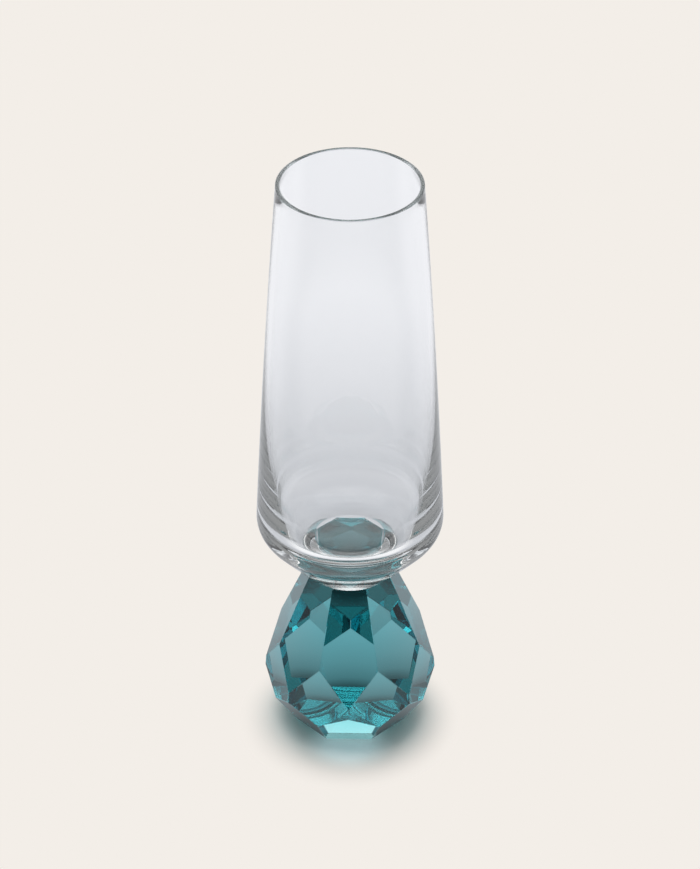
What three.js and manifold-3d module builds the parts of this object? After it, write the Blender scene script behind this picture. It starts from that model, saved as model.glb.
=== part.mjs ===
// A champagne glass: a clear tapered bowl with a heavy bottom, bonded to the top of a cut crystal foot.
// Lengths are in millimetres, angles in degrees. The glass stands on Z = 0 and its axis is the Z axis.

import * as THREE from 'three';
import Module from 'manifold-3d';
import { mergeVertices } from 'three/addons/utils/BufferGeometryUtils.js';

// Cut crystal foot, measured across the flats of its facets
const FOOT_SIDES = 8;
const FOOT_HEIGHT = 58.5;
const TABLE_FLATS = 25.5;
const CROWN_LEAN = 21.6;
const BASE_FLATS = 35.5;
const BASE_FLARE = 31.1;
const GIRDLE_FLATS = 51.5;
const GIRDLE_HEIGHT = 19;
const GIRDLE_LEAN = 4.1;

// Film of clear adhesive between the foot and the bowl
const BOND_THICKNESS = 0.25;
const BOND_MARGIN = 0.5;

// Outside of the bowl, with heights counted from its underside
const BOWL_HEIGHT = 141.25;
const RIM_DIAMETER = 44.2;
const BELLY_DIAMETER = 59.5;
const BELLY_HEIGHT = 21.3;
const WALL_BOW = 0.43;
const SHOULDER_LENGTH = 3.35;
const FLANK_ANGLE = 49.8;
const UNDERSIDE_DIAMETER = 28.5;
const EDGE_HEIGHT = 0.4;

// Inside of the bowl. The wall's line starts as a thin wall and swings in to a heavy foot low down, with the
// shares of the way down at which its handles stand. The bottom is measured in the middle of the floor, and the
// dish is the floor's rise from there to where it would meet the wall if the round corner were sharp.
const RIM_WALL = 1.3;
const THIN_WALL = 1.95;
const THIN_SHARE = 0.63;
const SWING_SHARE = 0.8;
const HEAVY_WALL = 5.3;
const BOTTOM_THICKNESS = 12;
const FLOOR_DISH = 2;
const CORNER_HEIGHT = 9.8;
const CORNER_REACH = 12.3;

// Fineness of the round surfaces
const ROUND_SEGMENTS = 64;
const CURVE_STEPS = 6;

// Length past the end faces of the foot, so that only one facet cone ends at each face
const CUT_OVERLAP = 1;

// Share of a corner's radius at which a cubic curve's handles make it round
const QUARTER_ROUND = 0.5523;

const wasm = await Module();
wasm.setup();

const tangent = (degrees) => Math.tan(THREE.MathUtils.degToRad(degrees));

// Turns a closed geometry into a solid that can be cut.
function toSolid(geometry) {
  const bare = geometry.clone();
  bare.deleteAttribute('normal');
  bare.deleteAttribute('uv');
  const merged = mergeVertices(bare, 1e-4);
  return new wasm.Manifold(new wasm.Mesh({
    numProp: 3,
    vertProperties: new Float32Array(merged.attributes.position.array),
    triVerts: new Uint32Array(merged.index.array),
  }));
}

// Turns a cut solid back into a geometry with flat facets.
function toGeometry(solid) {
  const mesh = solid.getMesh();
  const geometry = new THREE.BufferGeometry();
  geometry.setAttribute('position', new THREE.BufferAttribute(new Float32Array(mesh.vertProperties), 3));
  geometry.setIndex(new THREE.BufferAttribute(new Uint32Array(mesh.triVerts), 1));
  const flat = geometry.toNonIndexed();
  flat.computeVertexNormals();
  return flat;
}

// A cone of flat facets between two heights. flatsAt gives its size across flats at a height,
// and turn is how far a facet's middle is turned from -Y, in parts of one facet.
function facetCone(flatsAt, low, high, turn) {
  const halfFacet = Math.PI / FOOT_SIDES;
  const cornerRadius = (z) => flatsAt(z) / 2 / Math.cos(halfFacet);
  const cone = new THREE.CylinderGeometry(cornerRadius(high), cornerRadius(low), high - low, FOOT_SIDES);
  cone.rotateX(Math.PI / 2);
  cone.rotateZ(halfFacet * (1 + 2 * turn));
  cone.translate(0, 0, (low + high) / 2);
  return toSolid(cone);
}

// The crystal is what three facet cones share: the crown leans in to the table on top,
// the girdle stands between the crown's facets, and the lower facets draw in to the base.
function crystalFootGeometry() {
  const above = FOOT_HEIGHT + CUT_OVERLAP;
  const below = -CUT_OVERLAP;
  const crownFlats = (z) => TABLE_FLATS + 2 * tangent(CROWN_LEAN) * (FOOT_HEIGHT - z);
  const girdleFlats = (z) => GIRDLE_FLATS - 2 * tangent(GIRDLE_LEAN) * (z - GIRDLE_HEIGHT);
  const lowerFlats = (z) => BASE_FLATS + 2 * tangent(BASE_FLARE) * z;
  const crown = facetCone(crownFlats, below, FOOT_HEIGHT, 0);
  const girdle = facetCone(girdleFlats, below, above, 0.5);
  const lower = facetCone(lowerFlats, 0, above, 0);
  return toGeometry(crown.intersect(girdle).intersect(lower));
}

// A thin round film on the table, which leaves a small margin at the table's sides.
function bondGeometry() {
  const radius = TABLE_FLATS / 2 - BOND_MARGIN;
  const film = new THREE.CylinderGeometry(radius, radius, BOND_THICKNESS, ROUND_SEGMENTS);
  film.rotateX(Math.PI / 2);
  film.translate(0, 0, BOND_THICKNESS / 2);
  return film;
}

// The bowl's outline from the middle of its underside, up the outside, over the rim and down the inside.
function bowlProfile() {
  const flankFoot = new THREE.Vector2(UNDERSIDE_DIAMETER / 2, EDGE_HEIGHT);
  const belly = new THREE.Vector2(BELLY_DIAMETER / 2, BELLY_HEIGHT);
  const lipRadius = RIM_WALL / 2;
  const lip = new THREE.Vector2(RIM_DIAMETER / 2 - lipRadius, BOWL_HEIGHT - lipRadius);
  const rim = new THREE.Vector2(RIM_DIAMETER / 2, lip.y);

  // A wall that bows out by WALL_BOW half way up has its control point twice as far from the chord.
  const bow = new THREE.Vector2(2 * WALL_BOW, 0);
  const wallControl = belly.clone().lerp(rim, 0.5).add(bow);

  // The shoulder turns from the flank's slope to the wall's, over equal lengths each side of its corner.
  const wallDown = belly.clone().sub(wallControl).setLength(SHOULDER_LENGTH);
  const shoulderCorner = belly.clone().add(wallDown);
  const flankAngle = THREE.MathUtils.degToRad(FLANK_ANGLE);
  const flankSlope = new THREE.Vector2(Math.cos(flankAngle), Math.sin(flankAngle));
  const shoulderStart = shoulderCorner.clone().addScaledVector(flankSlope, -SHOULDER_LENGTH);
  const halfFlank = flankFoot.distanceTo(shoulderStart) / 2;
  const flankControl = shoulderStart.clone().addScaledVector(flankSlope, -halfFlank);

  // The flat underside turns up into the flank over a small round edge.
  const footSlope = flankControl.clone().sub(flankFoot);
  const edgeCorner = flankFoot.clone().addScaledVector(footSlope, -EDGE_HEIGHT / footSlope.y);
  const edgeStart = new THREE.Vector2(edgeCorner.x - edgeCorner.distanceTo(flankFoot), 0);

  // Inside, the wall leaves the line of a thin wall and swings in to the heavy foot.
  const innerRim = new THREE.Vector2(RIM_DIAMETER / 2 - RIM_WALL, lip.y);
  const thinFoot = new THREE.Vector2(BELLY_DIAMETER / 2 - THIN_WALL, BELLY_HEIGHT);
  const thinHandle = innerRim.clone().lerp(thinFoot, THIN_SHARE).add(bow);
  const swingHandle = innerRim.clone().lerp(thinFoot, SWING_SHARE).add(bow);
  const footHeight = BOTTOM_THICKNESS + FLOOR_DISH + CORNER_HEIGHT;
  const heavyFoot = new THREE.Vector2(BELLY_DIAMETER / 2 - HEAVY_WALL, footHeight);

  // A round corner leads from the foot of the wall to the dished floor.
  const footDown = heavyFoot.clone().sub(swingHandle);
  const corner = heavyFoot.clone().addScaledVector(footDown, -CORNER_HEIGHT / footDown.y);
  const dishControl = new THREE.Vector2((corner.x - CORNER_REACH) / 2, BOTTOM_THICKNESS);
  const floorBack = dishControl.clone().sub(corner).setLength(CORNER_REACH);
  const cornerStart = corner.clone().add(floorBack);
  const wallHandle = heavyFoot.clone().lerp(corner, QUARTER_ROUND);
  const floorHandle = cornerStart.clone().lerp(corner, QUARTER_ROUND);

  const outline = new THREE.Path();
  outline.moveTo(0, 0);
  outline.lineTo(edgeStart.x, 0);
  outline.quadraticCurveTo(edgeCorner.x, edgeCorner.y, flankFoot.x, flankFoot.y);
  outline.quadraticCurveTo(flankControl.x, flankControl.y, shoulderStart.x, shoulderStart.y);
  outline.quadraticCurveTo(shoulderCorner.x, shoulderCorner.y, belly.x, belly.y);
  outline.quadraticCurveTo(wallControl.x, wallControl.y, rim.x, rim.y);
  outline.absarc(lip.x, lip.y, lipRadius, 0, Math.PI);
  outline.bezierCurveTo(
    thinHandle.x, thinHandle.y, swingHandle.x, swingHandle.y, heavyFoot.x, heavyFoot.y,
  );
  outline.bezierCurveTo(
    wallHandle.x, wallHandle.y, floorHandle.x, floorHandle.y, cornerStart.x, cornerStart.y,
  );
  outline.quadraticCurveTo(dishControl.x, dishControl.y, 0, BOTTOM_THICKNESS);
  return outline.getPoints(CURVE_STEPS);
}

// The outline turned about the upright axis.
function bowlGeometry() {
  const bowl = new THREE.LatheGeometry(bowlProfile(), ROUND_SEGMENTS);
  bowl.rotateX(Math.PI / 2);
  return bowl;
}

const clearGlass = new THREE.MeshStandardMaterial({ color: 0xeef1f4, roughness: 0.03, metalness: 0 });
const clearAdhesive = new THREE.MeshStandardMaterial({ color: 0xdfe8e6, roughness: 0.1, metalness: 0 });
const tealCrystal = new THREE.MeshStandardMaterial({ color: 0x1b7f8c, roughness: 0.02, metalness: 0 });

// Adds one named piece of the glass with its underside at a height.
function addPiece(group, name, geometry, material, height) {
  const piece = new THREE.Mesh(geometry, material);
  piece.name = name;
  piece.position.z = height;
  group.add(piece);
}

const glass = new THREE.Group();
addPiece(glass, 'crystal_foot', crystalFootGeometry(), tealCrystal, 0);
addPiece(glass, 'bond_layer', bondGeometry(), clearAdhesive, FOOT_HEIGHT);
addPiece(glass, 'glass_bowl', bowlGeometry(), clearGlass, FOOT_HEIGHT + BOND_THICKNESS);

export default glass;
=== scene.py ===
"""Champagne glass: a clear tapered bowl bonded to a cut teal crystal foot, dressed for a studio picture.

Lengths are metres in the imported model's frame. The foot stands on Z = 0 and the axis of the glass is Z.
"""

import logging
import math
from dataclasses import dataclass
from enum import Enum
from typing import Any, Callable

import bmesh
import bpy
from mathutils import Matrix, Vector


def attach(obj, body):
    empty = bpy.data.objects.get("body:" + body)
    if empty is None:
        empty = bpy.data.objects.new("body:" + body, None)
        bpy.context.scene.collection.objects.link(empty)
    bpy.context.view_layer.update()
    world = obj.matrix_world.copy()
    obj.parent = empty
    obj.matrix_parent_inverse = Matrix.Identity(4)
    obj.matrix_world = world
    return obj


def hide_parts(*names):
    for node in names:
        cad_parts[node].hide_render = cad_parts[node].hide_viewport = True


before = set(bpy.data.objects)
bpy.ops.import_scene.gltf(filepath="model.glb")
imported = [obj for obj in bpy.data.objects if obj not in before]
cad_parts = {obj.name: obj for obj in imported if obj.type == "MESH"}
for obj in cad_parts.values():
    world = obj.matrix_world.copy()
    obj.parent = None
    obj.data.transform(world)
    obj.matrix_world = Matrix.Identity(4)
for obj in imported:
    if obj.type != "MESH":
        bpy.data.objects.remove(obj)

LOG = logging.getLogger("champagne_glass")
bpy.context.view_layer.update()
MM = 0.001
BODY = "root"
WHITE = (1.0, 1.0, 1.0, 1.0)
CREAM = "#f3eee8"

# The level of the crystal's table, and the film on it that the bowl stands on
TABLE_LEVEL = 58.5 * MM
BOND_THICKNESS = 0.25 * MM

# Ripples of polished faces: one finer layer, at less than half the height
RIPPLE_DETAIL = 1.0
RIPPLE_ROUGHNESS = 0.4

# A point of a turned outline: its distance from the axis and its height
Point = tuple[float, float]


class Lean(Enum):
    """Which way a facet leans as it goes up."""

    INWARD = 1
    OUTWARD = -1


class Part(Enum):
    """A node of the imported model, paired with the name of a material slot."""

    CRYSTAL_FOOT = ("crystal_foot", "teal_crystal")
    BOND_LAYER = ("bond_layer", "clear_adhesive")
    GLASS_BOWL = ("glass_bowl", "clear_glass")


def linear(colour: str) -> tuple[float, float, float, float]:
    """Turns an sRGB hex colour into linear light.

    Args:
        colour: six hex digits after a hash sign.

    Returns:
        Red, green, blue and an alpha of 1, each from 0 to 1.
    """
    parts = [int(colour[start:start + 2], 16) / 255 for start in (1, 3, 5)]
    red, green, blue = (c / 12.92 if c <= 0.04045 else ((c + 0.055) / 1.055) ** 2.4 for c in parts)
    return red, green, blue, 1.0


def direction(azimuth: float, elevation: float) -> Vector:
    """Points from the glass to a place round it.

    Args:
        azimuth: degrees round the axis, with 0 on the camera's side.
        elevation: degrees above the horizon.

    Returns:
        A vector of length 1.
    """
    turn = math.radians(azimuth)
    rise = math.radians(elevation)
    return Vector((math.cos(rise) * math.sin(turn), -math.cos(rise) * math.cos(turn), math.sin(rise)))


def add_node(
    tree: bpy.types.NodeTree,
    kind: str,
    settings: dict[str, Any] | None = None,
    values: dict[Any, Any] | None = None,
    links: dict[Any, bpy.types.NodeSocket] | None = None,
) -> bpy.types.Node:
    """Adds one node with its settings and links.

    Args:
        tree: node tree that gets the node.
        kind: Blender's name for the kind of node.
        settings: properties of the node by name.
        values: fixed values of input sockets by name or number.
        links: sockets that feed input sockets, by name or number.

    Returns:
        The new node.
    """
    node = tree.nodes.new(kind)
    for name, value in (settings or {}).items():
        setattr(node, name, value)
    for name, value in (values or {}).items():
        node.inputs[name].default_value = value
    for name, socket in (links or {}).items():
        tree.links.new(socket, node.inputs[name])
    return node


def new_material(name: str) -> tuple[bpy.types.Material, bpy.types.NodeTree]:
    """Makes an empty node material.

    Args:
        name: name of the real material.

    Returns:
        The material and its node tree, with no nodes in it.
    """
    material = bpy.data.materials.new(name)
    material.use_nodes = True
    material.node_tree.nodes.clear()
    return material, material.node_tree


def axis_distance(tree: bpy.types.NodeTree) -> bpy.types.NodeSocket:
    """Measures how far a shaded point is from the upright axis, in the piece's own coordinates.

    Args:
        tree: node tree of the finish.

    Returns:
        A socket with the distance in metres.
    """
    place = add_node(tree, "ShaderNodeTexCoord").outputs["Object"]
    flat = add_node(
        tree, "ShaderNodeVectorMath", {"operation": "MULTIPLY"}, {1: (1.0, 1.0, 0.0)}, {0: place}
    ).outputs["Vector"]
    return add_node(tree, "ShaderNodeVectorMath", {"operation": "LENGTH"}, None, {0: flat}).outputs["Value"]


def waves(tree: bpy.types.NodeTree, width: float, depth: float) -> bpy.types.NodeSocket:
    """Ripples a surface softly, as blown, poured or hand-polished faces are.

    Args:
        tree: node tree of the finish.
        width: distance from one ripple to the next.
        depth: height of a ripple.

    Returns:
        A socket with the rippled normal.
    """
    place = add_node(tree, "ShaderNodeTexCoord").outputs["Object"]
    ripple = add_node(
        tree,
        "ShaderNodeTexNoise",
        None,
        {"Scale": 1 / width, "Detail": RIPPLE_DETAIL, "Roughness": RIPPLE_ROUGHNESS},
        {"Vector": place},
    ).outputs["Fac"]
    bump = add_node(tree, "ShaderNodeBump", None, {"Strength": 1.0, "Distance": depth}, {"Height": ripple})
    return bump.outputs["Normal"]


def start_piece(name: str, add: Callable[..., Any], **sizes: Any) -> bpy.types.Object:
    """Adds a primitive as the start of a piece and leaves it open in edit mode.

    Args:
        name: name of the new piece.
        add: operator that adds the primitive.
        sizes: size and place of the primitive.

    Returns:
        The new object, in edit mode and selected all over.
    """
    bpy.ops.object.select_all(action="DESELECT")
    add(**sizes)
    piece = bpy.context.object
    piece.name = name
    piece.data.name = name
    bpy.ops.object.transform_apply(location=True, rotation=True, scale=True)
    bpy.ops.object.mode_set(mode="EDIT")
    bpy.ops.mesh.select_mode(type="VERT")
    bpy.ops.mesh.select_all(action="SELECT")
    return piece


def close_piece(piece: bpy.types.Object, weld: float, smooth_angle: float | None) -> None:
    """Welds a finished mesh, turns its faces outwards and leaves edit mode.

    Args:
        piece: object that is open in edit mode.
        weld: distance within which points are one point.
        smooth_angle: edges flatter than this are shaded smooth, and None keeps every face flat.
    """
    bpy.ops.mesh.select_all(action="SELECT")
    bpy.ops.mesh.remove_doubles(threshold=weld)
    bpy.ops.mesh.normals_make_consistent(inside=False)
    bpy.ops.mesh.select_all(action="DESELECT")
    bpy.ops.object.mode_set(mode="OBJECT")
    if smooth_angle is None:
        bpy.ops.object.shade_flat()
    else:
        bpy.ops.object.shade_smooth_by_angle(angle=smooth_angle)
    piece.select_set(False)


def dress(piece: bpy.types.Object, part: Part, material: bpy.types.Material) -> None:
    """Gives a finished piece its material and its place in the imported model.

    Args:
        piece: the finished piece.
        part: node that the piece stands for.
        material: finish of the piece.
    """
    node, slot = part.value
    piece.data.materials.append(material)
    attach(piece, BODY)
    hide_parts(node)


def select_edges(piece: bpy.types.Object, wanted: Callable[[Vector, Vector], bool]) -> None:
    """Selects the edges of an open mesh by the places of their ends.

    Args:
        piece: object that is open in edit mode.
        wanted: test of an edge's two ends.
    """
    bpy.ops.mesh.select_mode(type="EDGE")
    bpy.ops.mesh.select_all(action="DESELECT")
    mesh = bmesh.from_edit_mesh(piece.data)
    for edge in mesh.edges:
        edge.select_set(wanted(edge.verts[0].co, edge.verts[1].co))
    mesh.select_flush_mode()
    bmesh.update_edit_mesh(piece.data)


def curve_points(controls: list[Vector], steps: int) -> list[Point]:
    """Follows a Bezier curve, leaving out its first point.

    Args:
        controls: control points of a quadratic or cubic curve.
        steps: number of points.

    Returns:
        Points along the curve up to its end.
    """
    points = []
    for step in range(1, steps + 1):
        level = controls
        while len(level) > 1:
            level = [a.lerp(b, step / steps) for a, b in zip(level, level[1:])]
        points.append((level[0].x, level[0].y))
    return points


@dataclass(frozen=True)
class BondedZone:
    """The round part of a level face that the adhesive wets.

    The adhesive has the index of the glass, so light passes straight on there and nothing is mirrored.
    """

    radius: float
    level: float
    tolerance: float = 0.02 * MM

    def mask(self, tree: bpy.types.NodeTree) -> bpy.types.NodeSocket:
        """Builds the mask of the zone from the piece's own coordinates.

        Args:
            tree: node tree of the finish.

        Returns:
            A socket that is 1 inside the zone and 0 outside.
        """
        inside = add_node(
            tree, "ShaderNodeMath", {"operation": "LESS_THAN"}, {1: self.radius}, {0: axis_distance(tree)}
        ).outputs["Value"]
        place = add_node(tree, "ShaderNodeTexCoord").outputs["Object"]
        height = add_node(tree, "ShaderNodeSeparateXYZ", None, None, {0: place}).outputs["Z"]
        on_face = add_node(
            tree, "ShaderNodeMath", {"operation": "COMPARE"}, {1: self.level, 2: self.tolerance}, {0: height}
        ).outputs["Value"]
        both = add_node(tree, "ShaderNodeMath", {"operation": "MULTIPLY"}, None, {0: inside, 1: on_face})
        return both.outputs["Value"]


@dataclass(frozen=True)
class ClearBody:
    """A clear solid with a polished skin, which the adhesive wets on one face."""

    name: str
    zone: BondedZone
    ior: float
    roughness: float
    body_colour: tuple[float, float, float, float]
    density: float
    wave_width: float
    wave_depth: float

    def material(self) -> bpy.types.Material:
        """Builds the node material: skin, wetted face and coloured body.

        Returns:
            The material.
        """
        material, tree = new_material(self.name)
        skin = add_node(
            tree,
            "ShaderNodeBsdfPrincipled",
            None,
            {
                "Base Color": WHITE,
                "Roughness": self.roughness,
                "IOR": self.ior,
                "Transmission Weight": 1.0,
            },
            {"Normal": waves(tree, self.wave_width, self.wave_depth)},
        ).outputs["BSDF"]
        wetted = add_node(tree, "ShaderNodeBsdfTransparent").outputs["BSDF"]
        surface = add_node(
            tree, "ShaderNodeMixShader", None, None, {0: self.zone.mask(tree), 1: skin, 2: wetted}
        ).outputs["Shader"]
        body = add_node(
            tree, "ShaderNodeVolumeAbsorption", None, {"Color": self.body_colour, "Density": self.density}
        ).outputs["Volume"]
        add_node(tree, "ShaderNodeOutputMaterial", None, None, {"Surface": surface, "Volume": body})
        return material


def blown_glass(zone: BondedZone) -> ClearBody:
    """Describes fire-polished clear soda-lime glass.

    It gives the eye a colourless body, a cool grey where it is seen edge on, and slow soft waves in what is
    seen through it, because the wall was blown and not ground.

    Args:
        zone: wetted part of the bowl's underside.

    Returns:
        The finish of the bowl.
    """
    return ClearBody(
        name="blown_clear_glass",
        zone=zone,
        ior=1.52,
        roughness=0.0,
        body_colour=linear("#eef3f3"),
        density=6.0,
        wave_width=26 * MM,
        wave_depth=0.004 * MM,
    )


def teal_crystal(zone: BondedZone) -> ClearBody:
    """Describes cut and polished crystal, coloured through with teal.

    It gives the eye flat mirrors with crisp edges, a pale teal where light crosses it once, a deep blue-green
    where light is thrown about inside it, and the faint unevenness of facets polished by hand.

    Args:
        zone: wetted part of the crystal's table.

    Returns:
        The finish of the foot.
    """
    return ClearBody(
        name="cut_teal_crystal",
        zone=zone,
        ior=1.517,
        roughness=0.0,
        body_colour=linear("#30dfe4"),
        density=28.8,
        wave_width=9 * MM,
        wave_depth=0.001 * MM,
    )


@dataclass(frozen=True)
class ClearAdhesive:
    """Clear cured adhesive.

    It gives the eye a faint pale veil over the crystal's table and a bright line round the joint.
    """

    clear_radius: float
    haze: float = 0.24
    ior: float = 1.5
    roughness: float = 0.08
    tint: str = "#f4f8f7"
    wave_width: float = 2 * MM
    wave_depth: float = 0.01 * MM

    def material(self) -> bpy.types.Material:
        """Builds the node material: a hazy film inside and a clear rounded edge.

        Returns:
            The material.
        """
        material, tree = new_material("clear_cured_adhesive")
        reach = axis_distance(tree)
        wetted = add_node(
            tree, "ShaderNodeMath", {"operation": "LESS_THAN"}, {1: self.clear_radius}, {0: reach}
        ).outputs["Value"]
        edge = add_node(
            tree,
            "ShaderNodeBsdfPrincipled",
            None,
            {
                "Base Color": linear(self.tint),
                "Roughness": self.roughness,
                "IOR": self.ior,
                "Transmission Weight": 1.0,
            },
            {"Normal": waves(tree, self.wave_width, self.wave_depth)},
        ).outputs["BSDF"]
        clear = add_node(tree, "ShaderNodeBsdfTransparent").outputs["BSDF"]
        veil = add_node(tree, "ShaderNodeBsdfDiffuse", None, {"Color": linear(self.tint)}).outputs["BSDF"]
        film = add_node(tree, "ShaderNodeMixShader", None, {0: self.haze}, {1: clear, 2: veil})
        surface = add_node(
            tree, "ShaderNodeMixShader", None, None, {0: wetted, 1: edge, 2: film.outputs["Shader"]}
        )
        add_node(tree, "ShaderNodeOutputMaterial", None, None, {"Surface": surface.outputs["Shader"]})
        return material


@dataclass(frozen=True)
class FacetRing:
    """One ring of equal flat facets that is cut round the crystal.

    It measures flats across at a level. The lean is in degrees from upright, and the turn of a facet's middle
    from the camera's side is in parts of one facet.
    """

    flats: float
    level: float
    lean: float
    way: Lean
    turn: float


@dataclass
class CrystalFoot:
    """The solid cut crystal that is stem and foot in one."""

    height: float = TABLE_LEVEL
    sides: int = 8
    blank_radius: float = 34 * MM
    blank_sides: int = 32
    crown: FacetRing = FacetRing(flats=25.5 * MM, level=TABLE_LEVEL, lean=21.6, way=Lean.INWARD, turn=0.0)
    girdle: FacetRing = FacetRing(flats=51.5 * MM, level=19 * MM, lean=4.1, way=Lean.INWARD, turn=0.5)
    lower: FacetRing = FacetRing(flats=35.5 * MM, level=0.0, lean=31.1, way=Lean.OUTWARD, turn=0.0)
    arris: float = 0.12 * MM
    arris_steps: int = 1
    weld: float = 0.002 * MM
    flat_angle: float = 0.5

    def cut(self, ring: FacetRing) -> None:
        """Cuts one ring of facets off the open mesh.

        Args:
            ring: the facets to cut.
        """
        lean = math.radians(ring.lean)
        for index in range(self.sides):
            out = direction(360 * (index + ring.turn) / self.sides, 0.0)
            normal = out * math.cos(lean) + Vector((0.0, 0.0, ring.way.value * math.sin(lean)))
            place = out * (ring.flats / 2) + Vector((0.0, 0.0, ring.level))
            bpy.ops.mesh.select_all(action="SELECT")
            bpy.ops.mesh.bisect(plane_co=place, plane_no=normal, use_fill=True, clear_outer=True)

    def build(self, finish: ClearBody) -> bpy.types.Object:
        """Cuts the crystal from a round blank and takes the sharpness off its edges.

        Args:
            finish: finish of the crystal.

        Returns:
            The finished piece.
        """
        piece = start_piece(
            "cut_crystal_foot",
            bpy.ops.mesh.primitive_cylinder_add,
            vertices=self.blank_sides,
            radius=self.blank_radius,
            depth=self.height,
            location=(0.0, 0.0, self.height / 2),
        )
        for ring in (self.crown, self.girdle, self.lower):
            self.cut(ring)
        bpy.ops.mesh.select_all(action="SELECT")
        bpy.ops.mesh.remove_doubles(threshold=self.weld)
        bpy.ops.mesh.dissolve_limited(angle_limit=math.radians(self.flat_angle))
        select_edges(piece, lambda start, end: True)
        bpy.ops.mesh.bevel(
            offset=self.arris, offset_type="OFFSET", segments=self.arris_steps, affect="EDGES"
        )
        close_piece(piece, self.weld, None)
        dress(piece, Part.CRYSTAL_FOOT, finish.material())
        return piece


@dataclass
class BondLayer:
    """The film of clear adhesive between the foot and the bowl, a hair clear of both."""

    radius: float = 12.25 * MM
    low: float = TABLE_LEVEL
    high: float = TABLE_LEVEL + BOND_THICKNESS
    clearance: float = 0.02 * MM
    rounding: float = 0.08 * MM
    rounding_steps: int = 3
    segments: int = 96
    weld: float = 0.004 * MM
    smooth_angle: float = 40.0

    def build(self, finish: ClearAdhesive) -> bpy.types.Object:
        """Makes the film with a rounded edge.

        Args:
            finish: finish of the adhesive.

        Returns:
            The finished piece.
        """
        low = self.low + self.clearance
        high = self.high - self.clearance
        piece = start_piece(
            "clear_bond_film",
            bpy.ops.mesh.primitive_cylinder_add,
            vertices=self.segments,
            radius=self.radius,
            depth=high - low,
            location=(0.0, 0.0, (low + high) / 2),
        )
        select_edges(piece, lambda start, end: abs(start.z - end.z) < self.rounding)
        bpy.ops.mesh.bevel(
            offset=self.rounding, offset_type="OFFSET", segments=self.rounding_steps, affect="EDGES"
        )
        close_piece(piece, self.weld, math.radians(self.smooth_angle))
        dress(piece, Part.BOND_LAYER, finish.material())
        return piece


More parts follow.
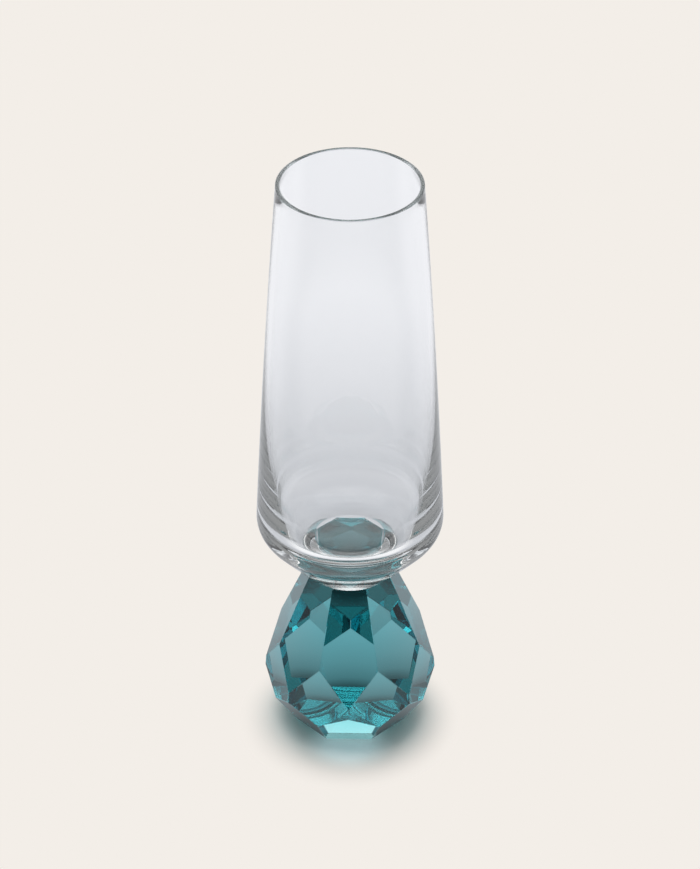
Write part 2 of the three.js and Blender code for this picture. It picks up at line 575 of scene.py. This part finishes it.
@dataclass
class GlassBowl:
    """The clear bowl: a heavy bottom, a round shoulder and a wall that tapers to a thin rim.

    Heights are counted from the underside, which stands at the base. Inside, the wall leaves the line of a
    thin wall and swings in to a heavy foot, and the shares say how far down its curve's handles stand.
    """

    base: float = TABLE_LEVEL + BOND_THICKNESS
    height: float = 141.25 * MM
    rim_radius: float = 22.1 * MM
    belly_radius: float = 29.75 * MM
    belly_height: float = 21.3 * MM
    wall_bow: float = 0.43 * MM
    shoulder: float = 3.35 * MM
    flank_angle: float = 49.8
    underside_radius: float = 14.25 * MM
    edge_height: float = 0.4 * MM
    rim_wall: float = 1.3 * MM
    thin_wall: float = 1.95 * MM
    thin_share: float = 0.63
    swing_share: float = 0.8
    heavy_wall: float = 5.3 * MM
    bottom: float = 12 * MM
    floor_dish: float = 2 * MM
    corner_height: float = 9.8 * MM
    corner_reach: float = 12.3 * MM
    quarter_round: float = 0.5523
    turns: int = 160
    wall_steps: int = 48
    curve_steps: int = 20
    weld: float = 0.002 * MM
    smooth_angle: float = 35.0

    def outside(self) -> list[Point]:
        """Lists the outline from the middle of the underside up to the lip.

        Returns:
            Points of the outside.
        """
        foot = Vector((self.underside_radius, self.edge_height))
        belly = Vector((self.belly_radius, self.belly_height))
        rim = Vector((self.rim_radius, self.height - self.rim_wall / 2))
        # A wall that bows out half way up has its handle twice as far from the chord
        wall = belly.lerp(rim, 0.5) + Vector((2 * self.wall_bow, 0.0))
        corner = belly + (belly - wall).normalized() * self.shoulder
        angle = math.radians(self.flank_angle)
        slope = Vector((math.cos(angle), math.sin(angle)))
        start = corner - slope * self.shoulder
        flank = start - slope * ((start - foot).length / 2)
        edge = foot - (flank - foot) * (self.edge_height / (flank - foot).y)
        edge_start = edge - Vector(((foot - edge).length, 0.0))
        points = [(0.0, 0.0), tuple(edge_start)]
        points += curve_points([edge_start, edge, foot], self.curve_steps)
        points += curve_points([foot, flank, start], self.curve_steps)
        points += curve_points([start, corner, belly], self.curve_steps)
        points += curve_points([belly, wall, rim], self.wall_steps)
        return points

    def inside(self) -> list[Point]:
        """Lists the outline from the lip down to the middle of the dished inner floor.

        Returns:
            Points of the inside.
        """
        lip = self.rim_wall / 2
        centre = Vector((self.rim_radius - lip, self.height - lip))
        points = []
        for step in range(1, self.curve_steps + 1):
            turn = math.pi * step / self.curve_steps
            points.append((centre.x + lip * math.cos(turn), centre.y + lip * math.sin(turn)))
        rim = Vector(points[-1])
        bow = Vector((2 * self.wall_bow, 0.0))
        thin_foot = Vector((self.belly_radius - self.thin_wall, self.belly_height))
        thin = rim.lerp(thin_foot, self.thin_share) + bow
        swing = rim.lerp(thin_foot, self.swing_share) + bow
        corner_level = self.bottom + self.floor_dish
        foot = Vector((self.belly_radius - self.heavy_wall, corner_level + self.corner_height))
        corner = foot + (foot - swing) * (self.corner_height / (swing.y - foot.y))
        dish = Vector(((corner.x - self.corner_reach) / 2, self.bottom))
        start = corner + (dish - corner).normalized() * self.corner_reach
        handles = [foot.lerp(corner, self.quarter_round), start.lerp(corner, self.quarter_round)]
        middle = Vector((0.0, self.bottom))
        points += curve_points([rim, thin, swing, foot], self.wall_steps)
        points += curve_points([foot, *handles, start], self.wall_steps)
        points += curve_points([start, dish, middle], self.curve_steps)
        return points

    def build(self, finish: ClearBody) -> bpy.types.Object:
        """Draws the outline from a single point and spins it about the axis.

        Args:
            finish: finish of the glass.

        Returns:
            The finished piece.
        """
        section = self.outside() + self.inside()
        outline = [Vector((radius, 0.0, self.base + height)) for radius, height in section]
        piece = start_piece("blown_glass_bowl", bpy.ops.mesh.primitive_plane_add, size=self.edge_height)
        bpy.ops.mesh.merge(type="CENTER")
        bpy.ops.transform.translate(value=outline[0])
        for start, end in zip(outline, outline[1:]):
            bpy.ops.mesh.extrude_region_move(TRANSFORM_OT_translate={"value": end - start})
        bpy.ops.mesh.select_all(action="SELECT")
        bpy.ops.mesh.spin(
            steps=self.turns, angle=2 * math.pi, center=(0.0, 0.0, 0.0), axis=(0.0, 0.0, 1.0)
        )
        close_piece(piece, self.weld, math.radians(self.smooth_angle))
        dress(piece, Part.GLASS_BOWL, finish.material())
        return piece


@dataclass(frozen=True)
class SoftBox:
    """A soft oval light panel far off: where it hangs, its half sizes in degrees and how bright it is.

    The core is the share of the panel's reach that is at full strength.
    """

    azimuth: float
    elevation: float
    half_width: float
    half_height: float
    strength: float
    core: float = 0.4

    def glow(self, tree: bpy.types.NodeTree, way: bpy.types.NodeSocket) -> bpy.types.NodeSocket:
        """Builds the panel's light for a direction.

        Args:
            tree: node tree of the world.
            way: direction that is looked along.

        Returns:
            A socket with the light that the panel adds.
        """
        centre = direction(self.azimuth, self.elevation)
        across = direction(self.azimuth + 90.0, 0.0) / math.sin(math.radians(self.half_width))
        up = direction(self.azimuth + 180.0, 90.0 - self.elevation) / math.sin(math.radians(self.half_height))
        sideways, upwards, ahead = (
            add_node(
                tree, "ShaderNodeVectorMath", {"operation": "DOT_PRODUCT"}, {1: axis}, {0: way}
            ).outputs["Value"]
            for axis in (across, up, centre)
        )
        offset = add_node(
            tree, "ShaderNodeCombineXYZ", None, None, {0: sideways, 1: upwards}
        ).outputs["Vector"]
        reach = add_node(
            tree, "ShaderNodeVectorMath", {"operation": "LENGTH"}, None, {0: offset}
        ).outputs["Value"]
        panel = add_node(
            tree,
            "ShaderNodeMapRange",
            {"interpolation_type": "SMOOTHSTEP"},
            {"From Min": 1.0, "From Max": self.core, "To Min": 0.0, "To Max": self.strength},
            {"Value": reach},
        ).outputs["Result"]
        in_front = add_node(
            tree, "ShaderNodeMath", {"operation": "GREATER_THAN"}, {1: 0.0}, {0: ahead}
        ).outputs["Value"]
        return add_node(
            tree, "ShaderNodeMath", {"operation": "MULTIPLY"}, None, {0: panel, 1: in_front}
        ).outputs["Value"]


@dataclass(frozen=True)
class Stop:
    """A colour of the sweep at a distance from the glass."""

    reach: float
    colour: str


@dataclass(frozen=True)
class Sweep:
    """The paper's colours from the glass outwards, which paint light and shade on it."""

    stops: tuple[Stop, ...]

    def colour(self, tree: bpy.types.NodeTree, reach: bpy.types.NodeSocket) -> bpy.types.NodeSocket:
        """Builds the colour for a distance from the glass.

        Args:
            tree: node tree of the floor.
            reach: distance from the glass.

        Returns:
            A socket with the colour.
        """
        last = self.stops[-1].reach
        share = add_node(tree, "ShaderNodeMath", {"operation": "DIVIDE"}, {1: last}, {0: reach})
        ramp = add_node(tree, "ShaderNodeValToRGB", None, None, {"Fac": share.outputs["Value"]})
        elements = ramp.color_ramp.elements
        elements[0].color = linear(self.stops[0].colour)
        elements[1].color = linear(self.stops[-1].colour)
        for stop in self.stops[1:-1]:
            elements.new(stop.reach / last).color = linear(stop.colour)
        return ramp.outputs["Color"]


@dataclass
class Studio:
    """The pale sweep that the glass stands on, the soft lights over it and the camera."""

    # The floor lies a hair under the base, so that the two faces do not coincide
    floor_size: float = 8.0
    floor_drop: float = 0.05 * MM
    floor_cuts: int = 3
    floor_weld: float = 1 * MM

    # The paper as the camera sees it near the glass, with a painted teal tint in the shade round the foot,
    # and the painted light and shade of the paper as the glass bends and mirrors it behind the glass and in
    # front
    painted_teal_near_paper: Sweep = Sweep((Stop(0.0, "#e2e9e7"), Stop(24 * MM, "#e2e9e7"), Stop(36 * MM, CREAM)))
    # Painted shade seen through the glass behind it: dark under the foot, lighter further back, then a
    # painted dark band and lighter again
    painted_shading_behind: Sweep = Sweep(
        (
            Stop(0.0, "#2c3132"),
            Stop(17 * MM, "#32383a"),
            Stop(22 * MM, "#868c90"),
            Stop(32 * MM, "#a8abb0"),
            Stop(50 * MM, "#c5c8ce"),
            Stop(140 * MM, "#d8dadf"),
            Stop(260 * MM, "#eff0f4"),
            Stop(430 * MM, "#f5f6fa"),
            Stop(480 * MM, "#8e9498"),
            Stop(560 * MM, "#8e9498"),
            Stop(680 * MM, "#c2c6ca"),
            Stop(1200 * MM, "#e4e6ea"),
        )
    )
    # Painted light and shade seen through the glass in front: dark under the foot, a painted bright stretch,
    # then a painted dark band
    painted_shading_in_front: Sweep = Sweep(
        (
            Stop(0.0, "#2c3132"),
            Stop(17 * MM, "#32383a"),
            Stop(22 * MM, "#8a9094"),
            Stop(32 * MM, "#d6d9de"),
            Stop(45 * MM, "#f4f5f9"),
            Stop(65 * MM, "#fcfdff"),
            Stop(145 * MM, "#fcfdff"),
            Stop(185 * MM, "#8e9498"),
            Stop(240 * MM, "#8e9498"),
            Stop(360 * MM, "#c2c6ca"),
            Stop(1200 * MM, "#e4e6ea"),
        )
    )
    front_turn: float = 0.35

    # A painted pool of teal light laid on the paper in front of the base, and the reach of the shadow round
    # the foot
    pool_place: tuple[float, float, float] = (0.0, -20 * MM, 0.0)
    pool_core: float = 4 * MM
    pool_edge: float = 16 * MM
    painted_pool_colour: str = "#a4c2c8"
    painted_pool_strength: float = 0.46
    shade_place: tuple[float, float, float] = (0.0, -6 * MM, 0.0)
    shade_start: float = 20 * MM
    shade_end: float = 37 * MM

    # The tent's light near the horizon and high up, with the heights in degrees between which it grows
    low_light: float = 0.04
    high_light: float = 0.28
    low_rise: float = 5.0
    high_rise: float = 45.0
    panels: tuple[SoftBox, ...] = (
        SoftBox(azimuth=180.0, elevation=82.0, half_width=50.0, half_height=32.0, strength=1.5, core=0.6),
        SoftBox(azimuth=180.0, elevation=38.0, half_width=30.0, half_height=8.0, strength=0.5),
        SoftBox(azimuth=180.0, elevation=5.0, half_width=45.0, half_height=8.0, strength=1.3),
    )
    lamp_place: tuple[float, float, float] = (-0.12, 0.05, 0.9)
    lamp_size: float = 0.7
    lamp_power: float = 2.6

    # The camera, which looks at a point on the axis
    target_height: float = 109.83 * MM
    distance: float = 883.4 * MM
    elevation: float = 34.80
    azimuth: float = 1.06
    lens: float = 117.10
    sensor: float = 36.0

    # Light bounces often in the cut crystal and in the lip, which carries it round the rim
    bounces: int = 64
    clear_layers: int = 16

    def painted_shading_through_glass(
        self, tree: bpy.types.NodeTree, reach: bpy.types.NodeSocket
    ) -> bpy.types.NodeSocket:
        """Paints the light and shade of the paper as the glass shows it, which differs in front of the glass
        and behind it.

        Args:
            tree: node tree of the floor.
            reach: distance from the glass.

        Returns:
            A socket with the colour.
        """
        place = add_node(tree, "ShaderNodeTexCoord").outputs["Object"]
        depth = add_node(tree, "ShaderNodeSeparateXYZ", None, None, {0: place}).outputs["Y"]
        turn = add_node(tree, "ShaderNodeMath", {"operation": "DIVIDE"}, None, {0: depth, 1: reach})
        behind = add_node(
            tree,
            "ShaderNodeMapRange",
            {"interpolation_type": "SMOOTHSTEP"},
            {"From Min": -self.front_turn, "From Max": self.front_turn},
            {"Value": turn.outputs["Value"]},
        ).outputs["Result"]
        front = self.painted_shading_in_front.colour(tree, reach)
        back = self.painted_shading_behind.colour(tree, reach)
        # A colour mix takes its two colours at sockets 6 and 7 and gives the result at socket 2
        mix = add_node(tree, "ShaderNodeMix", {"data_type": "RGBA"}, None, {0: behind, 6: front, 7: back})
        return mix.outputs[2]

    def painted_pool(self, tree: bpy.types.NodeTree) -> bpy.types.NodeSocket:
        """Paints a pool of teal light on the paper in front of its base, a glow laid where the crystal would
        throw light.

        Args:
            tree: node tree of the floor.

        Returns:
            A socket with the pool's glow.
        """
        place = add_node(tree, "ShaderNodeTexCoord").outputs["Object"]
        away = add_node(
            tree, "ShaderNodeVectorMath", {"operation": "DISTANCE"}, {1: self.pool_place}, {0: place}
        ).outputs["Value"]
        glow = add_node(
            tree,
            "ShaderNodeMapRange",
            {"interpolation_type": "SMOOTHSTEP"},
            {
                "From Min": self.pool_edge,
                "From Max": self.pool_core,
                "To Min": 0.0,
                "To Max": self.painted_pool_strength,
            },
            {"Value": away},
        ).outputs["Result"]
        return add_node(
            tree, "ShaderNodeEmission", None, {"Color": linear(self.painted_pool_colour)}, {"Strength": glow}
        ).outputs["Emission"]

    def paper(self) -> bpy.types.Material:
        """Builds the paper of the floor: cream to the camera, with the shadow kept round the glass, a painted
        teal tint in that shadow and a painted pool of teal light in front of the base; what the glass shows
        of it is painted light and shade.

        Returns:
            The floor's material.
        """
        material, tree = new_material("matt_paper_sweep")
        reach = axis_distance(tree)
        shaded = add_node(
            tree, "ShaderNodeBsdfDiffuse", None, None, {"Color": self.painted_teal_near_paper.colour(tree, reach)}
        ).outputs["BSDF"]
        # The painted pool of teal light glows on top of the shaded paper
        shade_and_painted_pool = add_node(
            tree, "ShaderNodeAddShader", None, None, {0: shaded, 1: self.painted_pool(tree)}
        ).outputs["Shader"]
        plain = add_node(tree, "ShaderNodeEmission", None, {"Color": linear(CREAM)}).outputs["Emission"]
        # What the glass bends and mirrors of the paper glows with the painted light and shade of the sweeps
        painted_shading_glow = add_node(
            tree, "ShaderNodeEmission", None, None, {"Color": self.painted_shading_through_glass(tree, reach)}
        ).outputs["Emission"]
        path = add_node(tree, "ShaderNodeLightPath").outputs
        place = add_node(tree, "ShaderNodeTexCoord").outputs["Object"]
        away = add_node(
            tree, "ShaderNodeVectorMath", {"operation": "DISTANCE"}, {1: self.shade_place}, {0: place}
        ).outputs["Value"]
        clear_of_shadow = add_node(
            tree,
            "ShaderNodeMapRange",
            {"interpolation_type": "SMOOTHSTEP"},
            {"From Min": self.shade_start, "From Max": self.shade_end},
            {"Value": away},
        ).outputs["Result"]
        seen = add_node(
            tree,
            "ShaderNodeMath",
            {"operation": "MULTIPLY"},
            None,
            {0: clear_of_shadow, 1: path["Is Camera Ray"]},
        ).outputs["Value"]
        open_floor = add_node(tree, "ShaderNodeMixShader", None, None, {0: seen, 1: shade_and_painted_pool, 2: plain})
        through = add_node(
            tree,
            "ShaderNodeMath",
            {"operation": "MAXIMUM"},
            None,
            {0: path["Is Transmission Ray"], 1: path["Is Glossy Ray"]},
        ).outputs["Value"]
        surface = add_node(
            tree, "ShaderNodeMixShader", None, None, {0: through, 1: open_floor.outputs["Shader"], 2: painted_shading_glow}
        )
        add_node(tree, "ShaderNodeOutputMaterial", None, None, {"Surface": surface.outputs["Shader"]})
        return material

    def floor(self) -> bpy.types.Object:
        """Lays the floor.

        Returns:
            The floor.
        """
        floor = start_piece(
            "paper_floor",
            bpy.ops.mesh.primitive_plane_add,
            size=self.floor_size,
            location=(0.0, 0.0, -self.floor_drop),
        )
        bpy.ops.mesh.subdivide(number_cuts=self.floor_cuts)
        close_piece(floor, self.floor_weld, None)
        floor.data.materials.append(self.paper())
        return floor

    def tent(self) -> None:
        """Lights the scene from a dim tent with soft panels in it, which looks cream to the camera."""
        world = bpy.data.worlds.new("light_tent")
        bpy.context.scene.world = world
        world.use_nodes = True
        tree = world.node_tree
        tree.nodes.clear()
        way = add_node(tree, "ShaderNodeTexCoord").outputs["Generated"]
        height = add_node(tree, "ShaderNodeSeparateXYZ", None, None, {0: way}).outputs["Z"]
        level = add_node(
            tree,
            "ShaderNodeMapRange",
            {"interpolation_type": "SMOOTHSTEP"},
            {
                "From Min": math.sin(math.radians(self.low_rise)),
                "From Max": math.sin(math.radians(self.high_rise)),
                "To Min": self.low_light,
                "To Max": self.high_light,
            },
            {"Value": height},
        ).outputs["Result"]
        for panel in self.panels:
            level = add_node(
                tree, "ShaderNodeMath", {"operation": "ADD"}, None, {0: level, 1: panel.glow(tree, way)}
            ).outputs["Value"]
        light = add_node(tree, "ShaderNodeBackground", None, {"Color": WHITE}, {"Strength": level})
        backdrop = add_node(
            tree, "ShaderNodeBackground", None, {"Color": linear(CREAM), "Strength": 1.0}
        )
        path = add_node(tree, "ShaderNodeLightPath").outputs
        mix = add_node(
            tree,
            "ShaderNodeMixShader",
            None,
            None,
            {0: path["Is Camera Ray"], 1: light.outputs["Background"], 2: backdrop.outputs["Background"]},
        )
        add_node(tree, "ShaderNodeOutputWorld", None, None, {"Surface": mix.outputs["Shader"]})

    def lamp(self) -> bpy.types.Object:
        """Hangs a square lamp over the glass, which lights the paper and is not mirrored in the glass.

        Returns:
            The lamp.
        """
        data = bpy.data.lights.new("overhead_lamp", "AREA")
        data.size = self.lamp_size
        data.energy = self.lamp_power
        lamp = bpy.data.objects.new("overhead_lamp", data)
        bpy.context.scene.collection.objects.link(lamp)
        lamp.location = self.lamp_place
        lamp.rotation_euler = lamp.location.to_track_quat("Z", "Y").to_euler()
        lamp.visible_camera = False
        lamp.visible_glossy = False
        lamp.visible_transmission = False
        return lamp

    def camera(self) -> bpy.types.Object:
        """Sets up the camera at the photograph's viewing angle.

        Returns:
            The scene's camera.
        """
        data = bpy.data.cameras.new("studio_camera")
        data.lens = self.lens
        data.sensor_width = self.sensor
        camera = bpy.data.objects.new("studio_camera", data)
        bpy.context.scene.collection.objects.link(camera)
        back = direction(self.azimuth, self.elevation)
        camera.location = Vector((0.0, 0.0, self.target_height)) + back * self.distance
        camera.rotation_euler = back.to_track_quat("Z", "Y").to_euler()
        bpy.context.scene.camera = camera
        return camera

    def build(self) -> None:
        """Makes the floor, the light and the camera, and lets light bounce about inside the glass."""
        self.floor()
        self.tent()
        self.lamp()
        self.camera()
        scene = bpy.context.scene
        scene.view_settings.view_transform = "Standard"
        scene.cycles.max_bounces = self.bounces
        scene.cycles.glossy_bounces = self.bounces
        scene.cycles.transmission_bounces = self.bounces
        scene.cycles.transparent_max_bounces = self.clear_layers


def main() -> None:
    """Builds the studio and the three pieces of the glass, and reports each."""
    logging.basicConfig(level=logging.INFO, format="%(name)s: %(message)s")
    Studio().build()
    foot = CrystalFoot()
    bond = BondLayer()
    bowl = GlassBowl()
    pieces = [
        foot.build(teal_crystal(BondedZone(bond.radius, bond.low))),
        bond.build(ClearAdhesive(bond.radius - bond.rounding)),
        bowl.build(blown_glass(BondedZone(bond.radius, bond.high))),
    ]
    for piece in pieces:
        LOG.info("%s: %d faces", piece.name, len(piece.data.polygons))


if __name__ == "__main__":
    main()
